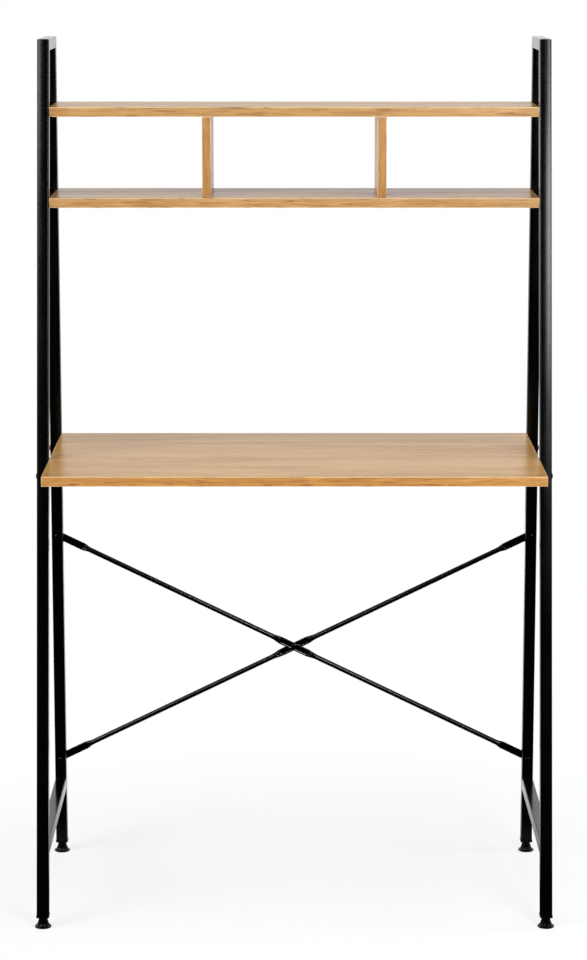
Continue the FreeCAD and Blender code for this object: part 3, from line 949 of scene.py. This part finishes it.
@dataclass
class Fasteners:
    """Every fastener that shows, modelled finer than its CAD solid."""

    palette: Palette
    bolt: ButtonBolt = field(default_factory=ButtonBolt)
    nut: HexNut = field(default_factory=HexNut)
    screw: PanScrew = field(default_factory=PanScrew)

    def group(self, name: str, node: str, axis: Axis, kind: ButtonBolt | HexNut | PanScrew) -> None:
        """Model the like fasteners of one CAD node.

        Args:
            name: The piece's name.
            node: The CAD node.
            axis: Where their shanks point.
            kind: What they are.
        """
        is_bolt = isinstance(kind, ButtonBolt)
        head = kind.head_height if is_bolt else 0.0
        group = Shape()
        for low, high in node_islands(node):
            middle = (low + high) / 2
            way = axis.at(middle)
            long_side = abs((high - low).dot(way))
            seat = middle - way * (long_side / 2 - head)
            place = Matrix.Translation(seat) if axis is Axis.UP else aim(seat, way)
            group.add(kind.shape(long_side - head), place)
        slot = "black_steel" if is_bolt else "zinc_steel"
        finish = self.palette.steel if is_bolt else self.palette.zinc
        group.piece(name, "frame", slot, finish, [node])

    def build(self) -> None:
        """Model every group."""
        for place, bolt, axis in (("desk_rail", "bolts", Axis.INWARD), ("brace_end", "bolts", Axis.REAR),
                                  ("brace_centre", "bolt", Axis.REAR)):
            nut = bolt.replace("bolt", "nut")
            self.group(f"{place}_button_{bolt}", f"{place}_{bolt}", axis, self.bolt)
            self.group(f"{place}_hex_{nut}", f"{place}_{nut}", axis, self.nut)
        self.group("desk_screws_with_thread", "desk_board_screws", Axis.UP, self.screw)


# ---------------------------------------------------------------- cross brace
@dataclass
class CrossBrace:
    """The two rods behind the rear legs: round tube pressed flat at its ends and at the crossing."""

    palette: Palette
    radius: float = 4.5
    flat_width: float = 13.6
    flat: float = 2.4
    groove: float = 0.62
    groove_edge: float = 2.0
    bead: float = 1.9
    end_flat: float = 49.0
    end_past: float = 8.0
    end_taper: float = 14.0
    middle_flat: float = 23.0
    middle_taper: float = 21.0
    dimple: float = 0.22
    swell_share: float = 0.4
    taper_steps: int = 16
    groove_start: float = 10.0
    groove_run: float = 8.0
    end_groove: float = 0.7
    end_rings: tuple[float, ...] = (10.0, 14.0, 18.0, 30.0)

    def heights(self, length: float) -> list[float]:
        """Heights of the rings along a rod, close together where its section changes.

        Args:
            length: Distance between the end bolts.

        Returns:
            The heights.
        """
        half = self.flat_width / 2
        rows = [half - self.end_past - half * math.cos(math.radians(12.0 + 13.0 * i)) for i in range(7)]
        rows += self.end_rings
        for start, taper in ((self.end_flat, self.end_taper),
                             (length / 2 - self.middle_flat - self.middle_taper, self.middle_taper)):
            rows += [start + taper * i / self.taper_steps for i in range(self.taper_steps + 1)]
        return rows + [length - row for row in reversed(rows)]

    def flatness(self, height: float, length: float) -> float:
        """How far a rod is pressed at a height: 1 in the flats, 0 in the round stretches.

        Args:
            height: The height along the rod.
            length: Distance between the end bolts.

        Returns:
            The share.
        """
        from_end = (min(height, length - height) - self.end_flat) / self.end_taper
        from_middle = (abs(height - length / 2) - self.middle_flat) / self.middle_taper
        return 1 - clamp(min(from_end, from_middle))

    def press(self, vert: bmesh.types.BMVert, length: float, step: float) -> None:
        """Move one point of the round bar to where the press leaves it.

        The outline at each height is a flat bar with half-round edges and nearly the tube's girth, so
        each point keeps its share of the way round.

        Args:
            vert: The point.
            length: Distance between the end bolts.
            step: Sideways step of the middle flat.
        """
        flat = self.flatness(vert.co.z, length)
        late = flat * flat * (3 - 2 * flat)
        in_middle = abs(vert.co.z - length / 2) < self.middle_flat + self.middle_taper
        lag = self.dimple * (1 - abs(vert.co.x) / self.radius)
        round_share = clamp((1 - flat - lag) / self.swell_share)
        swell = round_share * round_share * (3 - 2 * round_share)
        depth = self.flat + (2 * self.radius - self.flat) * swell
        width = 2 * self.radius + (self.flat_width - 2 * self.radius) * late
        from_end = min(vert.co.z, length - vert.co.z)
        past = (self.flat_width / 2 - self.end_past - from_end) / (self.flat_width / 2)
        if past > 0:
            width *= math.sqrt(max(1 - past * past, 0.0))
        width = max(width, depth)
        quarter = (width - depth) / 2 + math.pi * depth / 4
        turn = abs(math.atan2(abs(vert.co.y), abs(vert.co.x))) / (math.pi / 2) * quarter
        arc = math.pi * depth / 4
        if turn < arc:
            lean = turn / (depth / 2)
            x, y = (width - depth) / 2 + depth / 2 * math.cos(lean), depth / 2 * math.sin(lean)
        else:
            x, y = quarter - turn, depth / 2
            dent = clamp((width / 2 - self.bead - x) / self.groove_edge)
            run = clamp((from_end - self.groove_start) / self.groove_run)
            reach = 1.0 if in_middle else self.end_groove * run
            y -= self.groove * (1 - swell) * dent * dent * (3 - 2 * dent) * reach
        vert.co.x = math.copysign(x, vert.co.x)
        vert.co.y = math.copysign(y, vert.co.y) + (step * late if in_middle else 0.0)

    def rod(self, node: str, falls: bool) -> None:
        """Model one rod.

        Args:
            node: Its CAD node.
            falls: Whether it falls to the right and crosses in front.
        """
        spots = [(low + high) / 2 for low, high in node_islands("brace_end_bolts")]
        left = sorted((spot for spot in spots if spot.x < 0), key=lambda spot: spot.z)
        right = sorted((spot for spot in spots if spot.x > 0), key=lambda spot: spot.z)
        start, end = (left[1], right[0]) if falls else (left[0], right[1])
        seat = node_box("left_rear_leg")[1].y + self.flat / 2
        start = Vector((start.x, seat, start.z))
        end = Vector((end.x, seat, end.z))
        along = (end - start).normalized()
        rear = Vector((0.0, 1.0, 0.0))
        across = rear.cross(along)
        turn = Matrix((across, rear, along)).transposed().to_4x4()
        step = (-1 if falls else 1) * self.flat / 2
        length = (end - start).length
        shape = Shape.tube(self.heights(length), self.radius)
        for vert in shape.bm.verts:
            self.press(vert, length, step)
        shape.bm.transform(Matrix.Translation(start) @ turn)
        shape.piece(node.replace("brace", "pressed_rod"), "frame", "black_frame", self.palette.enamel,
                    [node], 50.0)

    def build(self) -> None:
        """Model both rods."""
        self.rod("falling_brace", True)
        self.rod("rising_brace", False)


# ---------------------------------------------------------------- levelling feet
@dataclass
class LevellingFoot:
    """Threaded stud and fluted cone of one corner's levelling foot; the insert keeps its CAD shape."""

    corner: str
    palette: Palette
    rim_radius: float = 13.8
    rim_round: float = 1.2
    rim_top: float = 3.1
    skirt_radius: float = 10.2
    skirt_height: float = 4.9
    neck_radius: float = 6.4
    neck_edge: float = 0.45
    side_rows: int = 9
    recess: float = 0.35
    bore_depth: float = 9.0
    bore_play: float = 0.05
    flutes: int = 10
    flute_depth: float = 0.95
    flute_fade: float = 1.5
    stud_radius: float = 3.0
    pitch: float = 1.0
    steps: int = 120

    def axis(self) -> Vector:
        """The foot's axis at floor level."""
        low, high = node_box(self.corner + "_stud")
        return Vector(((low.x + high.x) / 2, (low.y + high.y) / 2, 0.0))

    def cone(self) -> None:
        """Model the fluted cone with its flared rim."""
        top = node_box(self.corner + "_foot")[1].z
        r = self.rim_round
        bore = self.stud_radius + self.bore_play
        under = [(0.0, self.recess), (self.rim_radius - 4.0, self.recess), (self.rim_radius - 3.4, 0.0)]
        lower = [(self.rim_radius - r + r * math.sin(t), r - r * math.cos(t)) for t in turns(15.0, 7)]
        upper = [(self.rim_radius - r + r * math.cos(t), self.rim_top - r + r * math.sin(t))
                 for t in turns(15.0, 6)]
        flare_in = self.rim_radius - r - self.skirt_radius
        rise = self.skirt_height - self.rim_top
        flare = [(self.skirt_radius + flare_in * (1 - math.sin(t)), self.rim_top + rise * (1 - math.cos(t)))
                 for t in turns(18.0, 6, 1)]
        side = [(self.skirt_radius + (self.neck_radius - self.skirt_radius) * i / self.side_rows,
                 self.skirt_height + (top - 0.5 - self.skirt_height) * i / self.side_rows)
                for i in range(1, self.side_rows + 1)]
        crown = [(self.neck_radius - self.neck_edge, top), (bore + 0.3, top), (bore, top - 0.3),
                 (bore, top - self.bore_depth), (0.0, top - self.bore_depth)]
        shape = Shape.lathe(under + lower + upper + flare + side + crown, self.steps)
        for vert in shape.bm.verts:
            radius = math.hypot(vert.co.x, vert.co.y)
            if radius > self.stud_radius + 0.5 and vert.co.z > self.rim_top:
                self.flute(vert, radius, top)
        shape.outwards()
        shape.bm.transform(Matrix.Translation(self.axis()))
        shape.piece(self.corner + "_fluted_cone", self.corner + "_foot", "black_plastic", self.palette.plastic,
                    [self.corner + "_foot"], 45.0)

    def flute(self, vert: bmesh.types.BMVert, radius: float, top: float) -> None:
        """Press one point of the cone's side into its flute.

        Args:
            vert: The point.
            radius: Its distance from the axis.
            top: Height of the cone.
        """
        turn = math.atan2(vert.co.y, vert.co.x) - math.pi / 2
        wave = 0.5 + 0.5 * math.cos(self.flutes * turn + math.pi)
        low = clamp((vert.co.z - self.skirt_height) / self.flute_fade)
        high = clamp((top - 0.6 - vert.co.z) / 2.5)
        scale = 1 - self.flute_depth * wave ** 1.5 * low * high / radius
        vert.co.x *= scale
        vert.co.y *= scale

    def stud(self) -> None:
        """Model the threaded stud."""
        low, high = node_box(self.corner + "_stud")
        length = high.z - low.z
        root = self.stud_radius - THREAD_DEPTH * self.pitch
        outline = [(0.0, 0.0), (root, 0.0), (root, length - 0.5), (root - 0.5, length), (0.0, length)]
        shape = Shape.lathe(outline, 32)
        shape.add(Shape.thread(self.stud_radius, self.pitch, length - 0.4))
        shape.bm.transform(Matrix.Translation(self.axis() + Vector((0, 0, low.z))))
        shape.piece(self.corner + "_threaded_stud", self.corner + "_stud", "zinc_steel", self.palette.zinc,
                    [self.corner + "_stud"])

    def build(self) -> None:
        """Model the foot's moving pieces; the insert keeps its CAD shape."""
        self.cone()
        self.stud()


# ---------------------------------------------------------------- side frames
@dataclass
class WeldBeads:
    """Short fillet welds where the bars of one side frame meet."""

    side: Side
    palette: Palette
    radius: float = 0.85
    ripple: float = 0.12
    pitch: float = 1.7
    margin: float = 2.2
    settle: float = 0.3

    def bead(self, length: float) -> Shape:
        """Model one rippled bead along Z, centred on the origin.

        Args:
            length: Its length.

        Returns:
            The bead.
        """
        count = max(int(length / self.pitch * 4), 8)
        rows = []
        for i in range(count + 1):
            share = i / count
            swell = math.sqrt(max(1 - (2 * share - 1) ** 6, 0.03))
            wave = 1 + self.ripple * math.sin(2 * math.pi * share * length / self.pitch)
            size = 2 * self.radius * swell * wave
            rows.append(((share - 0.5) * length, size))
        return Shape.bead(rows)

    def build(self) -> None:
        """Model the beads at the stretcher's ends and under the top bar's corners."""
        name = self.side.name.lower()
        low, high = node_box(name + "_stretcher")
        top_low = node_box(name + "_top_bar")[0]
        front_low, front_high = node_box(name + "_front_leg")
        rear_low, rear_high = node_box(name + "_rear_leg")
        centre = (low.x + high.x) / 2
        length = high.x - low.x - 2 * self.margin
        group = Shape()
        slope = (top_low.y - front_low.y) / (front_high.z - front_low.z)
        spots = [(y, z + inward) for z, inward in ((low.z, -self.settle), (high.z, self.settle))
                 for y in (low.y + (z - low.z) * slope, high.y)]
        spots += [(rear_low.y, top_low.z), (top_low.y + (rear_high.y - rear_low.y), top_low.z)]
        for y, z in spots:
            group.add(self.bead(length), aim(Vector((centre, y, z)), Vector((1, 0, 0))))
        group.piece(name + "_weld_beads", "frame", "black_frame", self.palette.frame, (), 60.0)


# ---------------------------------------------------------------- carried-over nodes
@dataclass
class Boards:
    """Desk, shelves and dividers: foil on the CAD boards, made lighter or darker per board as painted light and
    shade, and edge bands with rounded arrises whose paler line is partly a painted highlight.
    """

    foil_pale: Colour = (0.68, 0.385, 0.108)
    foil_deep: Colour = (0.50, 0.26, 0.063)
    desk_pale: Colour = (0.65, 0.322, 0.088)
    desk_deep: Colour = (0.46, 0.205, 0.051)
    shelf_pale: Colour = (0.60, 0.355, 0.137)
    shelf_deep: Colour = (0.42, 0.218, 0.074)
    divider_pale: Colour = (0.55, 0.30, 0.105)
    divider_deep: Colour = (0.395, 0.197, 0.06)
    # Paler arris colours: partly the trimmed band's own edge, partly a painted highlight along the rounding.
    arris_pale: Colour = (0.86, 0.64, 0.37)
    arris_deep: Colour = (0.72, 0.49, 0.26)
    pore: Colour = (0.26, 0.105, 0.03)
    # Painted light and shade: one foil, made lighter on the desk and darker on the shelves, darkest on the
    # lower shelf, which the upper shelf shades.
    foil_tone: dict[str, float] = field(
        default_factory=lambda: {"desk": 1.03, "upper_shelf": 0.9, "lower_shelf": 0.78})
    foil_roughness: float = 0.25
    band_roughness: float = 0.36
    arris: float = 0.95
    arris_segments: int = 4
    square_facing: float = 0.995

    def foil(self, node: str, grain: Grain, number: int) -> OakFoil:
        """Foil of one board, made lighter or darker for its place as painted light and shade.

        Args:
            node: The board's name.
            grain: The way that its grain runs.
            number: Which stretch of the pattern it is cut from.

        Returns:
            The finish.
        """
        offset = (3.7 * number, 1.9 * number, 2.3 * number)
        # Painted light and shade: the board's foil is lightened or darkened for where it stands.
        tone = self.foil_tone.get(node, 1.0)
        pale, deep = toned(self.foil_pale, tone), toned(self.foil_deep, tone)
        return OakFoil(node + "_foil", pale, deep, self.pore, self.foil_roughness, grain, offset)

    def band(self, node: str, grain: Grain, number: int, pale: Colour, deep: Colour) -> OakFoil:
        """Edge band of one board.

        Args:
            node: The CAD node of the bands.
            grain: The way that their grain runs.
            number: Which stretch of the pattern they are cut from.
            pale: Colour between the figure.
            deep: Colour of the figure.

        Returns:
            The finish.
        """
        offset = (5.1 * number + 0.7, 2.7 * number, 1.3 * number)
        return OakFoil(node + "_oak", pale, deep, self.pore, self.band_roughness, grain, offset, 0.5,
                       (15.0, 210.0), (26.0, 460.0), (34.0, 470.0), 0.7, 0.75)

    def bands(self, node: str, grain: Grain, number: int) -> None:
        """Model the edge bands of one board, with a paler line along their rounded arrises: partly the trimmed
        band's own edge, partly a painted highlight.

        Args:
            node: The CAD node of the bands.
            grain: The way that their grain runs.
            number: Which stretch of the pattern they are cut from.
        """
        low, high = node_box(node)
        group = Shape()
        for start, end in node_islands(node):
            strip = Shape.block(start, end)
            strip.ease(self.arris, self.arris_segments, lambda edge: on_outline(edge, start, end, low, high))
            group.add(strip)
        pale, deep = self.shelf_pale, self.shelf_deep
        if node.startswith("desk"):
            pale, deep = self.desk_pale, self.desk_deep
        if grain is Grain.UPRIGHT:
            pale, deep = self.divider_pale, self.divider_deep
        face = self.band(node, grain, number, pale, deep).make()
        # Paler finish on the arris faces: partly the trimmed band, partly a painted highlight.
        line = self.band(node + "_lit_trim_arris", grain, number, self.arris_pale, self.arris_deep).make()
        name = node.replace("edge_bands", "rounded_bands")
        piece = group.piece(name, "frame", "oak_edge", face, [node], 60.0)
        piece.data.materials.append(line)
        for polygon in piece.data.polygons:
            if max(abs(part) for part in polygon.normal) < self.square_facing:
                polygon.material_index = 1

    def build(self) -> None:
        """Dress every board and band every edge."""
        level = ("desk", "upper_shelf", "lower_shelf")
        for number, name in enumerate(level, 1):
            dress(name + "_board", self.foil(name, Grain.ACROSS, number).make())
            self.bands(name + "_edge_bands", Grain.ACROSS, number)
        for number, side in enumerate(Side, len(level) + 1):
            name = side.name.lower() + "_divider"
            dress(name, self.foil(name, Grain.UPRIGHT, number).make())
            self.bands(name + "_edge_bands", Grain.UPRIGHT, number)


def on_outline(edge: bmesh.types.BMEdge, start: Vector, end: Vector, low: Vector, high: Vector) -> bool:
    """Whether an edge of a band lies on the outer face of the board that it edges.

    Args:
        edge: The edge.
        start: Lowest corner of the band.
        end: Highest corner of the band.
        low: Lowest corner of the whole board.
        high: Highest corner of the whole board.

    Returns:
        True when the edge is to be rounded.
    """
    thin = 0 if end.x - start.x < end.y - start.y else 1
    outer = low[thin] if abs(start[thin] - low[thin]) < abs(end[thin] - high[thin]) else high[thin]
    return all(abs(vert.co[thin] - outer) < 0.01 for vert in edge.verts)


def dress(node: str, finish: bpy.types.Material) -> None:
    """Give a CAD node that keeps its shape a finish.

    Args:
        node: The CAD node.
        finish: The material.
    """
    thing = frame["nodes"][node]
    if not thing.material_slots:
        thing.data.materials.append(finish)
    for slot in thing.material_slots:
        slot.material = finish
    LOG.info("%s: dressed in %s", node, finish.name)


def dress_steel(palette: Palette) -> None:
    """Give the tubes, rails, inserts and hidden fasteners their finishes.

    Args:
        palette: The shared finishes.
    """
    tubes = {"front_leg": palette.tube, "rear_leg": palette.tube, "top_bar": palette.bar,
             "stretcher": palette.bar, "desk_rail": palette.frame}
    for side in Side:
        for part, finish in tubes.items():
            dress(f"{side.name.lower()}_{part}", finish)
    for corner in CORNERS:
        dress(corner + "_insert", palette.plastic)
    dress("shelf_bolts", palette.steel)
    for node in ("shelf_barrel_nuts", "divider_screws"):
        dress(node, palette.zinc)
    dress("divider_dowels", palette.beech)


# ---------------------------------------------------------------- studio
@dataclass(frozen=True)
class Softbox:
    """One lamp: its place and target, width and height, watts, and the angle that its grid lets out.

    Only a glossy one shows in shiny surfaces.
    """

    name: str
    at: tuple[float, float, float]
    target: tuple[float, float, float]
    size: tuple[float, float]
    power: float
    glossy: bool = False
    spread: float = 180.0

    def hang(self) -> None:
        """Hang the lamp."""
        data = bpy.data.lights.new(self.name, "AREA")
        data.shape = "RECTANGLE"
        data.size, data.size_y = self.size
        data.energy = self.power
        data.spread = math.radians(self.spread)
        thing = bpy.data.objects.new(self.name, data)
        thing.location = self.at
        thing.rotation_euler = (Vector(self.target) - Vector(self.at)).to_track_quat("-Z", "Y").to_euler()
        thing.visible_camera = False
        thing.visible_glossy = self.glossy
        bpy.context.scene.collection.objects.link(thing)


LAMPS = (
    Softbox("right_softbox", (1.22, -2.25, 1.79), (0.42, -0.1, 0.95), (1.0, 0.56), 3.9, True, 80.0),
    Softbox("left_softbox", (-2.45, -1.8, 2.15), (0.0, 0.0, 0.8), (1.4, 1.4), 46.0, True),
    Softbox("top_softbox", (0.35, -0.4, 3.2), (0.0, 0.0, 0.8), (1.8, 0.9), 20.5),
    Softbox("front_fill", (1.5, -3.2, 1.0), (0.0, 0.0, 0.9), (1.2, 1.2), 37.0),
    Softbox("rear_softbox", (0.0, 3.4, 1.25), (0.0, 0.0, 0.9), (2.6, 1.2), 42.0),
    Softbox("left_far_box", (-1.9, -4.4, 3.15), (0.0, 0.2, 0.4), (0.6, 0.6), 16.0, True),
    Softbox("right_far_box", (1.9, -4.4, 3.15), (0.0, 0.2, 0.4), (0.6, 0.6), 16.0, True),
    Softbox("left_strip", (-2.2, -0.5, 0.95), (0.0, 0.0, 0.85), (0.4, 1.5), 7.0),
    Softbox("right_strip", (2.3, 0.0, 0.95), (0.0, 0.0, 0.85), (0.5, 1.5), 14.0),
)


@dataclass
class Studio:
    """Pale floor, white surroundings, soft lamps and the camera."""

    camera_height: float = 1.6167
    camera_distance: float = 4.8345
    camera_side: float = -0.0075
    camera_pitch: float = 10.49
    camera_yaw: float = -0.072
    lens: float = 108.75
    sensor: float = 36.0
    ambient: float = 0.16
    front_glow: float = 0.004
    rear_glow: float = 0.88
    floor_radius: float = 14.0
    floor_level: float = 0.75
    floor_paint: tuple[Colour, Colour] = ((0.785, 0.8, 0.812), (0.8, 0.815, 0.827))
    mirror_reach: float = 0.6
    mirror_glow: float = 0.3
    shadow_keep: float = 0.4
    shadow_reach: float = 0.42
    shadow_fade: float = 0.5

    def camera(self) -> None:
        """Set up the camera, which looks slightly down at the front."""
        data = bpy.data.cameras.new("camera")
        data.sensor_fit = "VERTICAL"
        data.sensor_height = self.sensor
        data.lens = self.lens
        thing = bpy.data.objects.new("camera", data)
        thing.location = (self.camera_side, -self.camera_distance, self.camera_height)
        thing.rotation_euler = (math.radians(90 - self.camera_pitch), 0.0, math.radians(self.camera_yaw))
        bpy.context.scene.collection.objects.link(thing)
        bpy.context.scene.camera = thing

    def world(self) -> None:
        """White surroundings: plain for the camera, dark towards the front in reflections."""
        world = bpy.data.worlds.new("studio")
        bpy.context.scene.world = world
        world.use_nodes = True
        world.cycles.sampling_method = "NONE"
        graph = Graph(world.node_tree)
        facing = graph.part(graph.place.outputs["Generated"], "Y")
        glow = graph.span(facing, -0.1, 0.35, self.front_glow, self.rear_glow)
        path = graph.nodes.new("ShaderNodeLightPath").outputs
        light = graph.blend(path["Is Glossy Ray"], self.ambient, glow)
        seen = graph.calc("MAXIMUM", path["Is Camera Ray"], path["Is Transmission Ray"])
        background = graph.nodes.new("ShaderNodeBackground")
        background.inputs["Color"].default_value = (1.0, 1.0, 1.0, 1.0)
        graph.feed(background.inputs["Strength"], graph.blend(seen, light, 1.0))
        output = graph.nodes.new("ShaderNodeOutputWorld")
        graph.links.new(background.outputs[0], output.inputs["Surface"])

    def floor(self) -> None:
        """Lay the pale floor, which keeps the object's shadow."""
        bm = bmesh.new()
        bmesh.ops.create_circle(bm, cap_ends=True, segments=96, radius=self.floor_radius)
        mesh = bpy.data.meshes.new("floor")
        bm.to_mesh(mesh)
        bm.free()
        graph = Finish("pale_floor")
        point = graph.place.outputs["Object"]
        path = graph.nodes.new("ShaderNodeLightPath").outputs
        shiny = graph.calc("MAXIMUM", path["Is Glossy Ray"], path["Is Transmission Ray"])
        front = graph.span(graph.part(point, "Y"), 0.0, self.mirror_reach, 1.0, 0.0)
        flat = graph.nodes.new("ShaderNodeVectorMath")
        flat.operation = "LENGTH"
        graph.links.new(point, flat.inputs[0])
        reach = self.shadow_reach
        near = graph.span(flat.outputs["Value"], reach, reach + self.shadow_fade, self.shadow_keep, 0.0)
        camera = path["Is Camera Ray"]
        mottle = graph.span(graph.noise(point, 3.0, 3.0), 0.3, 0.7, 0.0, 1.0)
        dark = graph.calc("MAXIMUM", graph.calc("MULTIPLY", shiny, front),
                          graph.calc("MULTIPLY", camera, graph.calc("SUBTRACT", 1.0, near)))
        graph.feed(graph.shader.inputs["Base Color"],
                   graph.mix(dark, graph.mix(mottle, *self.floor_paint), (0.0, 0.0, 0.0)))
        graph.shader.inputs["Roughness"].default_value = 0.9
        graph.shader.inputs["Specular IOR Level"].default_value = 0.0
        graph.shader.inputs["Emission Color"].default_value = (1.0, 1.0, 1.0, 1.0)
        lift = graph.calc("SUBTRACT", 1.0, graph.calc("MULTIPLY", near, self.floor_level))
        rear = graph.calc("MULTIPLY", shiny, graph.calc("SUBTRACT", 1.0, front))
        graph.feed(graph.shader.inputs["Emission Strength"],
                   graph.calc("ADD", graph.calc("MULTIPLY", camera, lift),
                              graph.calc("MULTIPLY", rear, self.mirror_glow)))
        mesh.materials.append(graph.material)
        thing = bpy.data.objects.new("floor", mesh)
        bpy.context.scene.collection.objects.link(thing)

    def build(self) -> None:
        """Set up everything around the object."""
        self.camera()
        self.world()
        self.floor()
        for lamp in LAMPS:
            lamp.hang()
        bpy.context.scene.view_settings.view_transform = "Standard"


def main() -> None:
    """Build every sub-assembly in order."""
    logging.basicConfig(level=logging.INFO, format="%(message)s")
    Studio().build()
    palette = Palette.mixed()
    dress_steel(palette)
    Boards().build()
    for side in Side:
        WeldBeads(side, palette).build()
    CrossBrace(palette).build()
    for corner in CORNERS:
        LevellingFoot(corner, palette).build()
    Fasteners(palette).build()


if __name__ == "__main__":
    main()
